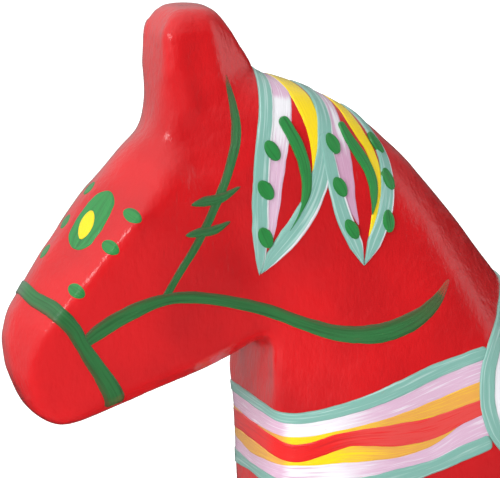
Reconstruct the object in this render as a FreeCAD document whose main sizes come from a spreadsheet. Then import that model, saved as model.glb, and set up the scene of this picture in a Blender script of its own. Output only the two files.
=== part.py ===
import FreeCAD, Part
import math
import os
import Sketcher

# A carved and painted wooden horse of the Dalarna kind, 130 mm tall, in millimetres.
# It stands on z = 0 with the middle of its box on the origin, and it looks towards -X,
# so that its left side faces -Y.
#
# Every place on the horse is drawn for the horse of 124 x 130 x 40 mm. The three helpers
# below stretch that drawing to the length, height and width that the sheet holds.

DRAWN_LENGTH = 124
DRAWN_HEIGHT = 130
DRAWN_WIDTH = 40

SIZES = {
    "length": 124,         # muzzle to rump
    "height": 130,         # sole to ear tip
    "width": 40,           # across the flanks
    "saw_slot": 9,         # gap sawn between the left and right legs
    "slot_height": 37,     # how far up that gap runs
    "slot_shoulder": 6,    # height over which the gap narrows to its roof
    "coat": 0.3,           # red ground coat, primer included
    "sole_margin": 0.5,    # bare wood left above the soles
    "stroke": 0.2,         # one brush stroke on top of the coat
    "bridle_brush": 2.3,   # breadth of the noseband
    "rein_brush": 2.2,
    "strap_brush": 1.3,    # cheek strap and its cross ticks
    "eye_brush": 5.8,
    "pupil_brush": 2.7,
    "border_brush": 1.6,   # edges of the mane locks and of the saddle
    "leaf_brush": 1.4,
    "wide_brush": 2.8,     # fields inside the mane locks
    "petal_brush": 3.2,
    "dab_brush": 2.7,      # length of one dotted dab
    "dab_slimness": 1.2,   # length of a dab over its breadth
    "peg_reach": 16,       # how deep the cutters of the nose dabs reach into the head
    "clear_of_flanks": 1.2,  # breadth of a cutter over the breadth of the horse
}

doc = FreeCAD.newDocument("painted_horse")


def make_sheet():
    sheet = doc.addObject("Spreadsheet::Sheet", "sheet")
    for row, (alias, value) in enumerate(SIZES.items(), start=1):
        sheet.set(f"A{row}", alias)
        sheet.set(f"B{row}", str(value))
        sheet.setAlias(f"B{row}", alias)
    doc.recompute()
    return sheet


sheet = make_sheet()


def size(alias):
    return float(sheet.get(alias))


def along(x, extra=""):
    """A place along the horse, as an expression on the sheet."""
    return f"{x:.4f} * sheet.length / {DRAWN_LENGTH}{extra}"


def across(y, extra=""):
    return f"{y:.4f} * sheet.width / {DRAWN_WIDTH}{extra}"


def upward(z, extra=""):
    return f"{z:.4f} * sheet.height / {DRAWN_HEIGHT}{extra}"


def outward(corners):
    """For each corner of a closed outline, how far it moves when every side moves out by 1."""
    area = sum(a[0] * b[1] - b[0] * a[1] for a, b in zip(corners, corners[1:] + corners[:1]))
    turn = math.copysign(1, area)
    moves = []
    for index, corner in enumerate(corners):
        before = corners[index - 1]
        after = corners[(index + 1) % len(corners)]
        first = unit(corner[0] - before[0], corner[1] - before[1])
        second = unit(after[0] - corner[0], after[1] - corner[1])
        normal_sum = (turn * (first[1] + second[1]), -turn * (first[0] + second[0]))
        spread = 1 + first[0] * second[0] + first[1] * second[1]
        moves.append((normal_sum[0] / spread, normal_sum[1] / spread))
    return moves


def unit(x, y):
    reach = math.hypot(x, y)
    return x / reach, y / reach


def draw_outline(sketch, corners, expressions):
    """A closed outline whose corners are each held by two named sizes."""
    count = len(corners)
    points = [FreeCAD.Vector(u, v, 0) for u, v in corners]
    lines = [Part.LineSegment(points[i], points[(i + 1) % count]) for i in range(count)]
    sketch.addGeometry(lines, False)
    joins = [Sketcher.Constraint("Coincident", i, 2, (i + 1) % count, 1) for i in range(count)]
    places = []
    for index, (u, v) in enumerate(corners):
        places.append(Sketcher.Constraint("DistanceX", -1, 1, index, 1, u))
        places.append(Sketcher.Constraint("DistanceY", -1, 1, index, 1, v))
    sketch.addConstraint(joins + places)
    for index, (u_text, v_text) in enumerate(expressions):
        sketch.setExpression(f"Constraints[{count + 2 * index}]", u_text)
        sketch.setExpression(f"Constraints[{count + 2 * index + 1}]", v_text)


def origin_plane(body, role):
    return [plane for plane in body.Origin.OriginFeatures if plane.Role == role][0]


def section(body, name, role, place, tilt, halves, names):
    """One cross-section of a loft: half an outline, mirrored over the middle of the horse.

    halves lists (depth, half breadth) from one end to the other, depth running along the
    first direction of the sketch, or along the second where the plane stands upright.
    """
    sketch = body.newObject("Sketcher::SketchObject", name)
    sketch.AttachmentSupport = [(origin_plane(body, role), "")]
    sketch.MapMode = "FlatFace"
    sketch.AttachmentOffset = FreeCAD.Placement(
        FreeCAD.Vector(0, 0, 0), FreeCAD.Rotation(FreeCAD.Vector(0, 1, 0), tilt))
    for axis, text in place.items():
        sketch.setExpression(f"AttachmentOffset.Base.{axis}", text)
    depth_text, breadth_text, grow = names
    ring = halves + [(depth, -breadth) for depth, breadth in reversed(halves)]
    moves = outward(ring)
    upright = role == "YZ_Plane"
    corners = []
    expressions = []
    for (depth, breadth), (out_depth, out_breadth) in zip(ring, moves):
        depth_place = depth_text(depth, f" + {out_depth:.4f} * ({grow})")
        breadth_place = breadth_text(breadth, f" + {out_breadth:.4f} * ({grow})")
        if upright:
            corners.append((breadth, depth))
            expressions.append((breadth_place, depth_place))
        else:
            corners.append((depth, breadth))
            expressions.append((depth_place, breadth_place))
    draw_outline(sketch, corners, expressions)
    return sketch


def add_loft(body, name, sections):
    loft = body.newObject("PartDesign::AdditiveLoft", name)
    loft.Profile = sections[0]
    loft.Sections = sections[1:]
    loft.Ruled = True
    return loft


# Cross-sections of the six masses that a carver leaves in the blank. Each row gives the
# place of the section, how much of the paint's growth moves its plane, and its half
# outline. Level sections list (x, half breadth); trunk sections list (z, half breadth).

TRUNK = [
    (-14, 0, [(84, 8), (76, 13), (52, 13), (46, 9)]),
    (8, 0, [(85, 8), (74, 18.9), (52, 19.2), (43.5, 12)]),
    (20, 0, [(79.8, 8), (71, 20), (52, 20), (43.5, 12)]),
    (33, 0, [(78, 8), (70, 20), (52, 20), (42.5, 12)]),
    (45, 0, [(78.4, 8), (70, 19.6), (51, 19.6), (40, 12)]),
    (54, 0, [(75.6, 7.5), (68, 17.8), (50, 17.8), (41, 12)]),
    (59.5, 0, [(70, 6), (64.5, 14.4), (52, 14.4), (46, 9)]),
    (62, 1, [(65.5, 3.5), (62, 9.5), (55, 9.5), (51.5, 5)]),
]

NECK = [
    (41, 0, [(-3, 12), (-8, 17), (-14, 15.5), (-20.8, 9)]),
    (55, 0, [(14, 14), (4, 18.8), (-10, 16.6), (-22.9, 10)]),
    (70, 0, [(26, 8), (14, 19.4), (-10, 16.6), (-23.2, 10.2)]),
    (80.5, 0, [(20, 5.5), (9, 17), (-10, 14.6), (-23, 9.6)]),
    (88, 0, [(14.6, 4.6), (5.4, 14.4), (-12, 12.6), (-28, 8.6)]),
    (97, 0, [(7.9, 4.2), (0.2, 11.8), (-17, 10.8), (-32, 8.4)]),
    (105, 0, [(1.3, 4.2), (-6.4, 10.4), (-20, 10), (-34, 8.6)]),
    (111.5, 0, [(-6, 4), (-12.8, 9.2), (-24, 9), (-36, 7.6)]),
    (116.4, 0, [(-13.8, 3.6), (-19, 7.6), (-28, 7.4), (-36, 6.2)]),
    (118.7, 1, [(-19.6, 2.8), (-23, 5.8), (-29, 5.8), (-34, 5)]),
]

# The head's sections stand square to the line of the nose. Each row gives the distance up
# that line from the muzzle, then half the outline from the nose ridge to the jaw.
HEAD_CORNER = (-62, 80)
HEAD_TILT = 36
HEAD = [
    (-5.8, -1, [(8.4, 2), (9.2, 3.6), (12.2, 3.8), (13.4, 2.4)]),
    (-4.5, 0, [(5.8, 2), (7, 5), (12.6, 5.2), (14.2, 3.6)]),
    (-2, 0, [(1.8, 1.8), (4, 6.2), (13, 6.4), (15.6, 4.2)]),
    (1.2, 0, [(-1.2, 1.7), (1.4, 7), (14.2, 7.2), (17.4, 4.6)]),
    (5, 0, [(-2.7, 1.7), (0.6, 8), (16.2, 8), (20, 5)]),
    (14.4, 0, [(-3.4, 1.7), (0.9, 9.8), (22.8, 9.4), (26.2, 6)]),
    (27, 0, [(-3.1, 1.8), (1.8, 10.8), (31, 9.4), (34.5, 6)]),
    (36, 0, [(-2, 2.4), (2.4, 9.4), (20, 8.2), (23, 5)]),
    (39.6, 1, [(0.2, 3), (3.4, 6.6), (15, 6.2), (17, 4)]),
]

EAR = [
    (108, 0, [(-24, 3), (-30, 6.6), (-36, 6.8), (-40, 6)]),
    (114.5, 0, [(-21.5, 3), (-30, 6.8), (-36.6, 6.8), (-39, 5.8)]),
    (121, 0, [(-24.3, 2.6), (-31, 6.5), (-37, 6.5), (-38.7, 5.5)]),
    (126.5, 0, [(-27.6, 2.4), (-31.4, 5.9), (-36.8, 6), (-38.4, 5)]),
    (129, 0, [(-29.4, 2.2), (-31.8, 4.8), (-36, 4.8), (-37.2, 4)]),
    (130, 1, [(-31, 1.6), (-32.4, 3.4), (-34.8, 3.4), (-35.8, 2.8)]),
]

FORELEGS = [
    (0, 0, [(-7.5, 16.4), (-9.2, 18.4), (-21.4, 18.4), (-23.6, 16)]),
    (24, 0, [(-5.4, 15.6), (-7.4, 17.6), (-20.2, 17.4), (-22.4, 15)]),
    (36, 0, [(-2.4, 15.4), (-5, 17.6), (-19, 17), (-21.8, 14)]),
    (43, 0, [(2.6, 15.6), (-2, 18), (-15.5, 17), (-22, 11.5)]),
    (52, 0, [(9, 13), (0, 17.4), (-13, 15.6), (-23, 9)]),
]

HINDLEGS = [
    (0, 0, [(53.6, 16), (51.6, 18.2), (36.4, 18.2), (34.6, 16.2)]),
    (22, 0, [(53, 15), (50.8, 17.2), (33.8, 17.4), (31.8, 15.4)]),
    (35, 0, [(55.4, 14), (52.4, 17), (30.6, 17.6), (28, 15.4)]),
    (44, 0, [(58.4, 11), (53.6, 17), (25.4, 18.6), (21, 15.4)]),
    (52, 0, [(58, 9), (52, 16), (26, 18), (18, 13)]),
]


def level_loft(body, prefix, name, rows, grow):
    """A mass whose sections lie level, one above the other."""
    sections = []
    for number, (z, share, halves) in enumerate(rows, start=1):
        place = {"z": upward(z, f" + {share} * ({grow})")}
        sections.append(section(body, f"{prefix}_{name}_{number}", "XY_Plane", place, 0,
                                halves, (along, across, grow)))
    return add_loft(body, f"{prefix}_{name}", sections)


def trunk_loft(body, prefix, grow):
    sections = []
    for number, (x, share, halves) in enumerate(TRUNK, start=1):
        place = {"z": along(x, f" + {share} * ({grow})")}
        sections.append(section(body, f"{prefix}_trunk_{number}", "YZ_Plane", place, 0,
                                halves, (upward, across, grow)))
    return add_loft(body, f"{prefix}_trunk", sections)


def head_loft(body, prefix, grow):
    rise = (math.sin(math.radians(HEAD_TILT)), math.cos(math.radians(HEAD_TILT)))
    sections = []
    for number, (up_nose, share, halves) in enumerate(HEAD, start=1):
        x = HEAD_CORNER[0] + up_nose * rise[0]
        z = HEAD_CORNER[1] + up_nose * rise[1]
        place = {"x": along(x, f" + {share * rise[0]:.4f} * ({grow})"),
                 "z": upward(z, f" + {share * rise[1]:.4f} * ({grow})")}
        sections.append(section(body, f"{prefix}_head_{number}", "XY_Plane", place, HEAD_TILT,
                                halves, (along, across, grow)))
    return add_loft(body, f"{prefix}_head", sections)


def saw_slot(body, prefix, grow):
    """The gap between the left and right legs, sawn right through from front to back."""
    sketch = body.newObject("Sketcher::SketchObject", f"{prefix}_slot_outline")
    sketch.AttachmentSupport = [(origin_plane(body, "YZ_Plane"), "")]
    sketch.MapMode = "FlatFace"
    half = size("saw_slot") / 2
    top = size("slot_height")
    bend = top - size("slot_shoulder")
    corners = [(half, -1), (half, bend), (half / 2, top), (-half / 2, top), (-half, bend), (-half, -1)]
    side = f"(sheet.saw_slot / 2 - ({grow}))"
    roof = f"sheet.slot_height - ({grow})"
    shoulder = f"{roof} - sheet.slot_shoulder"
    expressions = [(side, "-1"), (side, shoulder), (f"{side} / 2", roof),
                   (f"-{side} / 2", roof), (f"-{side}", shoulder), (f"-{side}", "-1")]
    draw_outline(sketch, corners, expressions)
    cut = body.newObject("PartDesign::Pocket", f"{prefix}_slot")
    cut.Profile = sketch
    cut.Type = 1
    cut.SideType = 2
    return cut


def carve(label, grow):
    """The whole carved form, every surface moved out by grow except the soles."""
    body = doc.addObject("PartDesign::Body", label)
    body.Label = label
    trunk_loft(body, label, grow)
    level_loft(body, label, "neck", NECK, grow)
    head_loft(body, label, grow)
    level_loft(body, label, "ear", EAR, grow)
    level_loft(body, label, "forelegs", FORELEGS, grow)
    level_loft(body, label, "hindlegs", HINDLEGS, grow)
    doc.recompute()
    saw_slot(body, label, grow)
    doc.recompute()
    return body


# The horse is built three times, each a coat of paint larger than the last. What lies
# between the first two is the red ground coat; what lies between the last two is the
# thickness in which every brush stroke is cut out.

carved = carve("pine_core", "0")
coated = carve("coated", "sheet.coat")
decorated = carve("decorated", "sheet.coat + sheet.stroke")


def cut(name, base, tool):
    result = doc.addObject("Part::Cut", name)
    result.Base = base
    result.Tool = tool
    return result


sole_margin = doc.addObject("Part::Box", "bare_margin")
sole_margin.setExpression("Length", "sheet.length")
sole_margin.setExpression("Width", "sheet.width * sheet.clear_of_flanks")
sole_margin.setExpression("Height", "sheet.sole_margin")
sole_margin.setExpression("Placement.Base.x", "-sheet.length / 2")
sole_margin.setExpression("Placement.Base.y", "-sheet.width * sheet.clear_of_flanks / 2")
red_coat = cut("trimmed_coat", cut("coat_to_sole", coated, carved), sole_margin)
red_coat.Label = "red_coat"
paint_skin = cut("paint_skin", decorated, coated)

# Brush strokes. Each is drawn in side view, as points (x, z) down the middle of the stroke
# with the share of the brush that touches there, and pushed through the paint skin.

strokes = {}


def extrude(name, corners, expressions, side):
    """A drawn outline pushed out to the left, or right through the horse."""
    sketch = doc.addObject("Sketcher::SketchObject", f"{name}_outline")
    sketch.Placement.Rotation = FreeCAD.Rotation(FreeCAD.Vector(1, 0, 0), 90)
    draw_outline(sketch, corners, expressions)
    prism = doc.addObject("Part::Extrusion", f"{name}_prism")
    prism.Base = sketch
    prism.DirMode = "Custom"
    prism.Dir = FreeCAD.Vector(0, -1, 0)
    prism.setExpression("LengthFwd", "sheet.width * sheet.clear_of_flanks")
    prism.Symmetric = side == "both"
    prism.Solid = True
    return prism


def on_horse(x, z):
    """A place in side view, as numbers and as expressions."""
    return x, z, along(x), upward(z)


def brush_line(name, brush, path, side, place=on_horse):
    """A stroke of one brush along a path of (x, z, share of the brush's breadth)."""
    left_edge = []
    right_edge = []
    for index, (x, z, share) in enumerate(path):
        before = path[max(index - 1, 0)]
        after = path[min(index + 1, len(path) - 1)]
        run = unit(after[0] - before[0], after[1] - before[1])
        half = share / 2
        middle_x, middle_z, x_text, z_text = place(x, z)
        for edge, sign in ((left_edge, 1), (right_edge, -1)):
            out = (-run[1] * half * sign, run[0] * half * sign)
            corner = (middle_x + out[0] * size(brush), middle_z + out[1] * size(brush))
            edge.append((corner, (f"{x_text} + {out[0]:.4f} * sheet.{brush}",
                                  f"{z_text} + {out[1]:.4f} * sheet.{brush}")))
    ring = left_edge + right_edge[::-1]
    return extrude(name, [corner for corner, text in ring], [text for corner, text in ring], side)


DAB_SIDES = 10


def dab(name, x, z, tilt, side):
    """One press of the dotting brush: an oval, longer than it is wide, leaning by tilt degrees."""
    corners = []
    expressions = []
    lean = math.radians(tilt)
    for step in range(DAB_SIDES):
        turn = 2 * math.pi * step / DAB_SIDES
        reach, spread = math.cos(turn) / 2, math.sin(turn) / 2 / size("dab_slimness")
        out = (reach * math.cos(lean) - spread * math.sin(lean),
               reach * math.sin(lean) + spread * math.cos(lean))
        corners.append((x + out[0] * size("dab_brush"), z + out[1] * size("dab_brush")))
        expressions.append((along(x, f" + {out[0]:.4f} * sheet.dab_brush"),
                            upward(z, f" + {out[1]:.4f} * sheet.dab_brush")))
    return extrude(name, corners, expressions, side)


def patch(name, outline, side):
    """A filled field with a drawn outline of (x, z)."""
    expressions = [(along(x), upward(z)) for x, z in outline]
    return extrude(name, outline, expressions, side)


def paint(name, prisms, side, over=()):
    """Cut one named piece of paint out of the skin, and out of the strokes that it covers."""
    shape = prisms[0]
    if len(prisms) > 1:
        shape = doc.addObject("Part::MultiFuse", f"{name}_prisms")
        shape.Shapes = prisms
    film = doc.addObject("Part::Common", f"{name}_film")
    film.Base = paint_skin
    film.Tool = shape
    for covered in over:
        strokes[covered][0] = cut(f"{covered}_under_{name}", strokes[covered][0], shape)
    strokes[name] = [film, side]


def laid_before(*families):
    """The strokes already laid whose names begin with one of these words."""
    return [name for name in strokes if name.startswith(families)]


def paint_line(name, brush, paths, side, over=(), place=on_horse):
    prisms = [brush_line(f"{name}_{number}", brush, path, side, place)
              for number, path in enumerate(paths, start=1)]
    paint(name, prisms, side, over)


def paint_dabs(name, places, side, over=()):
    prisms = [dab(f"{name}_{number}", x, z, tilt, side)
              for number, (x, z, tilt) in enumerate(places, start=1)]
    paint(name, prisms, side, over)


def band(name, top_line, bottom_line, start, stop, side="both"):
    """One stripe of a strap, between two shares of the strap's breadth."""
    upper = []
    lower = []
    for (x, top), (_, bottom) in zip(top_line, bottom_line):
        upper.append((x, top + (bottom - top) * start))
        lower.append((x, top + (bottom - top) * stop))
    paint(name, [patch(name, upper + lower[::-1], side)], side)


# Stripes of the breast strap and of the rump strap, each from and to a share of its breadth.
BREAST_STRIPES = {
    "teal_top": (0, 0.1), "lilac": (0.1, 0.24), "yellow_top": (0.24, 0.4), "red": (0.4, 0.56),
    "yellow_low": (0.56, 0.72), "white": (0.72, 0.88), "teal_low": (0.88, 1),
}
RUMP_STRIPES = {"teal_top": (0, 0.16), "lilac": (0.16, 0.42), "yellow": (0.42, 0.82), "teal_low": (0.82, 1)}


def paint_straps():
    """The striped breast strap and the strap round the rump, both under the saddle's edge."""
    breast_top = [(-27, 69.5), (-21, 69), (-16, 69.6), (-10.4, 71.9), (-4.4, 74.2), (1.6, 76.4),
                  (9.8, 78.6)]
    breast_bottom = [(-27, 56.8), (-21, 55.5), (-16, 55.3), (-10.4, 56.6), (-4.4, 58.3), (1.6, 60.2),
                     (9.8, 63)]
    rump_top = [(33, 76), (42, 75), (52, 73), (66, 72)]
    rump_bottom = [(33, 64), (42, 63.5), (52, 62.6), (66, 62)]
    for part, shares in BREAST_STRIPES.items():
        band(f"breast_{part}", breast_top, breast_bottom, *shares)
    for part, shares in RUMP_STRIPES.items():
        band(f"rump_{part}", rump_top, rump_bottom, *shares)


# The middle of the saddle's flower, and the lean of its petals in degrees from upright. The
# strokes of the flower count in breadths of the petal brush from that middle, so that the
# flower holds together when the horse grows longer or taller.
FLOWER = (22, 70)
PETAL_TURNS = (-100, -50, 0, 50, 100)
PETAL = ((0.5, 0.4), (1.06, 1), (1.62, 0.8), (2.06, 0.3))
LEAF = ((0.75, -0.94, 0.4), (1.56, -1.69, 1), (2.62, -1.87, 0.3))


def on_flower(x, z):
    """A place counted in breadths of the petal brush from the middle of the flower."""
    breadth = size("petal_brush")
    return (FLOWER[0] + x * breadth, FLOWER[1] + z * breadth,
            along(FLOWER[0], f" + {x:.4f} * sheet.petal_brush"),
            upward(FLOWER[1], f" + {z:.4f} * sheet.petal_brush"))


def paint_saddle():
    edge = [(11.4, 88), (10.6, 81.3), (7.8, 77), (6.6, 72.5), (7, 68), (9.4, 63.8), (14, 60.6),
            (22, 59.4), (30, 60.6), (34.6, 63.8), (37, 68), (37.4, 72.5), (36.2, 77), (33.6, 81.3),
            (32.8, 88)]
    stripes = list(strokes)
    paint("saddle_field", [patch("saddle_field", edge, "both")], "both", over=stripes)
    rim = [(x, z, 1) for x, z in edge]
    paint_line("saddle_border", "border_brush", [rim], "both", over=stripes + ["saddle_field"])
    petals = []
    for turn in PETAL_TURNS:
        spoke = (math.sin(math.radians(turn)), math.cos(math.radians(turn)))
        petals.append([(spoke[0] * reach, spoke[1] * reach, share) for reach, share in PETAL])
    paint_line("saddle_petals", "petal_brush", petals, "both", laid_before("saddle"), on_flower)
    leaves = [[(way * x, z, share) for x, z, share in LEAF] for way in (-1, 1)]
    paint_line("saddle_leaves", "leaf_brush", leaves, "both", laid_before("saddle"), on_flower)
    paint_dabs("saddle_flower_eye", [(*FLOWER, 0)], "both", over=laid_before("saddle"))


def paint_mane():
    """Two flame-shaped locks, each laid over the crest and down both sides of the neck."""
    front_back = [(-23.8, 121, 1), (-24.6, 112, 1), (-25.3, 104, 1), (-25.4, 97, 1), (-25.2, 91, 0.6)]
    front_fore = [(-13.6, 119, 1), (-14.4, 112, 1), (-15, 106.5, 1), (-17.1, 101.4, 1), (-21.7, 95.2, 1),
                  (-24.6, 91.6, 0.6)]
    rear_fore = [(-15.4, 118, 1), (-14.6, 107, 1), (-13.4, 101.9, 1), (-12.2, 98, 1), (-10.2, 92.2, 0.6)]
    rear_back = [(-5.2, 113, 1), (-4.8, 107, 1), (-5.4, 101, 1), (-7.2, 95.6, 1), (-9.6, 92.2, 0.6)]
    locks = (
        ("mane_white", "wide_brush", [[(-20.8, 120, 1), (-21.8, 110, 0.9), (-23, 98, 0.4)]]),
        ("mane_yellow_front", "wide_brush", [[(-17.2, 119, 0.9), (-16.6, 112, 0.9), (-18.3, 104, 0.4)]]),
        ("mane_leaf_front", "leaf_brush",
         [[(-21.4, 114.6, 0.5), (-19.5, 109.8, 1), (-18.9, 104.6, 1), (-21.2, 98.4, 0.4)]]),
        ("mane_lilac", "wide_brush", [[(-12.6, 117, 1), (-12, 108, 0.8), (-10.6, 100, 0.4)]]),
        ("mane_yellow_rear", "wide_brush", [[(-8.6, 115, 0.9), (-7.2, 107, 0.8), (-8.4, 98, 0.4)]]),
        ("mane_leaf_rear", "leaf_brush",
         [[(-11.4, 112, 0.5), (-9.6, 108.2, 1), (-8, 103.6, 1), (-8.6, 99.4, 0.4)]]),
        ("mane_border_front", "border_brush", [front_back, front_fore]),
        ("mane_border_rear", "border_brush", [rear_fore, rear_back]),
    )
    for name, brush, paths in locks:
        paint_line(name, brush, paths, "both", over=laid_before("mane"))
    front_dots = [(-23.3, 109.3, 60), (-24.4, 103.5, 60), (-24.4, 96.1, 80)]
    rear_dots = [(-13.8, 109.7, 110), (-13, 103.3, 110), (-11.4, 96.8, 110),
                 (-5.6, 108.5, 110), (-6.1, 103.8, 100), (-6.8, 97.4, 80)]
    paint_dabs("mane_dots_front", front_dots, "both", over=laid_before("mane"))
    paint_dabs("mane_dots_rear", rear_dots, "both", over=laid_before("mane"))


# Words that the names of all strokes on the head begin with.
HEAD_STROKES = ("eye", "cheek", "strap", "rein", "noseband")


def paint_bridle():
    """Eyes, the dabs around them, and the painted harness of the head."""
    paint_line("eye_ring_left", "eye_brush", [[(-52.2, 96, 0.4), (-51, 98, 0.9), (-49.6, 100.2, 1),
                                               (-48, 102.4, 0.7), (-46.4, 104.2, 0.2)]], "left")
    paint_line("eye_dot_left", "pupil_brush", [[(-51.6, 97.6, 0.6), (-50.7, 99, 1), (-49.8, 100.4, 0.6)]],
               "left", over=laid_before(*HEAD_STROKES))
    paint_dabs("cheek_dots_left", [(-45.4, 101, 0), (-48.8, 96.5, 0), (-53.7, 90.3, 0)], "left",
               over=laid_before(*HEAD_STROKES))
    cheek_strap = [(-29.4, 121, 0.4), (-28.7, 115.5, 1), (-29.5, 110.3, 1), (-31.2, 104, 1),
                   (-35.4, 96.5, 1), (-40.4, 88.6, 1)]
    paint_line("cheek_strap_left", "strap_brush", [cheek_strap], "left", over=laid_before(*HEAD_STROKES))
    ticks = [[(-36.4, 102.1, 0.5), (-32.4, 102.8, 1), (-28.6, 103.6, 0.4)],
             [(-37.5, 97.8, 0.5), (-33.8, 98, 1), (-30.1, 98.2, 0.4)]]
    paint_line("strap_ticks_left", "strap_brush", ticks, "left", over=laid_before(*HEAD_STROKES))
    rein = [(-54, 82, 1), (-50.4, 84.1, 1), (-46, 86.6, 0.9), (-40.6, 88.1, 0.8), (-35.1, 87.9, 0.9),
            (-30.2, 86.8, 1), (-24.4, 85, 1), (-19.3, 82.8, 1), (-14.4, 81.2, 1), (-9.4, 81, 1),
            (-3.9, 82.2, 1), (0.3, 84.8, 0.8), (3.5, 88.2, 0.3)]
    paint_line("rein_left", "rein_brush", [rein], "left", over=laid_before(*HEAD_STROKES, "mane"))
    noseband = [(-62, 90, 1), (-58.8, 88, 1), (-55.9, 86, 1), (-53.3, 82.2, 1), (-50, 77.2, 1),
                (-45.6, 68, 1)]
    paint_line("noseband", "bridle_brush", [noseband], "both", over=laid_before(*HEAD_STROKES))


# How far up the line of the nose its three dabs sit.
NOSE_DOTS = (12, 17.5, 24.5)


def nose_dots():
    """A row of dabs down the ridge of the nose, pressed on square to it."""
    pegs = []
    rise = (math.sin(math.radians(HEAD_TILT)), math.cos(math.radians(HEAD_TILT)))
    for number, up_nose in enumerate(NOSE_DOTS, start=1):
        peg = doc.addObject("Part::Cylinder", f"nose_dot_{number}")
        peg.setExpression("Radius", "sheet.dab_brush / 2")
        peg.setExpression("Height", "sheet.peg_reach")
        peg.Placement.Rotation = FreeCAD.Rotation(FreeCAD.Vector(0, 1, 0), HEAD_TILT - 90)
        peg.setExpression("Placement.Base.x", along(HEAD_CORNER[0] + up_nose * rise[0]))
        peg.setExpression("Placement.Base.z", upward(HEAD_CORNER[1] + up_nose * rise[1]))
        pegs.append(peg)
    paint("nose_dots", pegs, "both", over=laid_before(*HEAD_STROKES))


def finished_strokes():
    """Name every stroke, and mirror those that the left side alone carries."""
    nodes = []
    for name, (film, side) in strokes.items():
        film.Label = name
        nodes.append(film)
        if side == "left":
            other = doc.addObject("Part::Mirroring", name.replace("_left", "_right"))
            other.Source = film
            other.Normal = FreeCAD.Vector(0, 1, 0)
            nodes.append(other)
    return nodes


paint_straps()
paint_saddle()
paint_mane()
paint_bridle()
nose_dots()
pieces = [carved, red_coat] + finished_strokes()
doc.recompute()


def check_and_write():
    for thing in doc.Objects:
        if "Invalid" in thing.State or "Error" in thing.State:
            raise RuntimeError(f"{thing.Label} failed: {thing.State}")
    for piece in pieces:
        shape = piece.Shape
        if shape.isNull() or not shape.isValid() or not shape.Solids:
            raise RuntimeError(f"{piece.Label} has no sound solid")
    os.makedirs("parts", exist_ok=True)
    for piece in pieces:
        piece.Shape.exportStep(f"parts/{piece.Label}.step")
        print(f"{piece.Label}: {len(piece.Shape.Solids)} solid(s), {piece.Shape.Volume:.2f} mm3")


check_and_write()
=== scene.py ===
# %% [markdown]
# # A painted wooden horse
#
# The horse is a single carved block of pine, lacquered red and painted by hand. The frame
# brings the carved block and one thin film for each brush stroke. This lesson smooths the
# carving as sandpaper and thick lacquer do, and lays every stroke again as real paint, with
# bristle marks, raised edges and places where the brush runs dry.

# %% Load the fixed frame and measure it
import math

import bpy
import bmesh
import numpy as np
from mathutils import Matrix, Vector, noise
from mathutils.bvhtree import BVHTree


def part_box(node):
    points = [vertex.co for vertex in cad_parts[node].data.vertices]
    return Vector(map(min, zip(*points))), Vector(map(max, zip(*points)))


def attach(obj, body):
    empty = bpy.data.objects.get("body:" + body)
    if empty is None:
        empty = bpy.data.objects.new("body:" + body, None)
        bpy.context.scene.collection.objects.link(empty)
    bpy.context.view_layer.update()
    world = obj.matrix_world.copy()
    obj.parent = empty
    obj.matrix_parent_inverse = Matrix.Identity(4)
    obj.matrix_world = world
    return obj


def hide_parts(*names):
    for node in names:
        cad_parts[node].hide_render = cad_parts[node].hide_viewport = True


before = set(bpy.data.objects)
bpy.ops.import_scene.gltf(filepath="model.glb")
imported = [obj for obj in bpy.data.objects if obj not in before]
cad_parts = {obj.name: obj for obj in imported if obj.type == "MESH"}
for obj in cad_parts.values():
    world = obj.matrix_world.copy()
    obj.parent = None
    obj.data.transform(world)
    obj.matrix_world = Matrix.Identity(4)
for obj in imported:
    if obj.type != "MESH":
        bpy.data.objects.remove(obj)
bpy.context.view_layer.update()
core_low, core_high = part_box("pine_core")

# The pattern is drawn for a block of this size, in millimetres. The three factors below turn
# that drawing into metres on the block that the frame brings.
DRAWN_LENGTH, DRAWN_WIDTH, DRAWN_HEIGHT = 124.4, 40, 130
LENGTH = (core_high.x - core_low.x) / DRAWN_LENGTH
WIDTH = (core_high.y - core_low.y) / DRAWN_WIDTH
HEIGHT = (core_high.z - core_low.z) / DRAWN_HEIGHT
MM = HEIGHT
print(f"one drawn millimetre is {LENGTH * 1000:.3f} x {WIDTH * 1000:.3f} x {HEIGHT * 1000:.3f} mm")


def spot(x, y, z):
    """A place on the drawing, in metres on this horse."""
    return Vector((x * LENGTH, y * WIDTH, z * HEIGHT))


# %% [markdown]
# ## The studio
#
# The light comes evenly from all round and from a few soft lamps. What the varnish mirrors is
# set apart from it: a pale ceiling, so that edges and upper facets shine, a panel at the tail
# end and one small window. The side next to the camera is dim, so that the red keeps its
# depth. The floor is plain and pale. The camera stands low, in front of the left shoulder,
# with a long lens, as for a portrait.

# %% Camera
scene = bpy.context.scene
scene.view_settings.view_transform = "Standard"

CAMERA_TURN = math.radians(-20.5)
CAMERA_RISE = math.radians(13)
CAMERA_REACH = 480 * MM
LENS = 231.6


def aim(thing, target):
    thing.rotation_euler = (target - thing.location).to_track_quat("-Z", "Y").to_euler()


camera_data = bpy.data.cameras.new("portrait_camera")
camera_data.lens = LENS
camera_data.clip_start = 0.01
camera = bpy.data.objects.new("portrait_camera", camera_data)
scene.collection.objects.link(camera)
looks_at = spot(-26.5, -8, 95.7)
backwards = Vector((math.sin(CAMERA_TURN) * math.cos(CAMERA_RISE),
                    -math.cos(CAMERA_TURN) * math.cos(CAMERA_RISE), math.sin(CAMERA_RISE)))
camera.location = looks_at + backwards * CAMERA_REACH
aim(camera, looks_at)
scene.camera = camera


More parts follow.
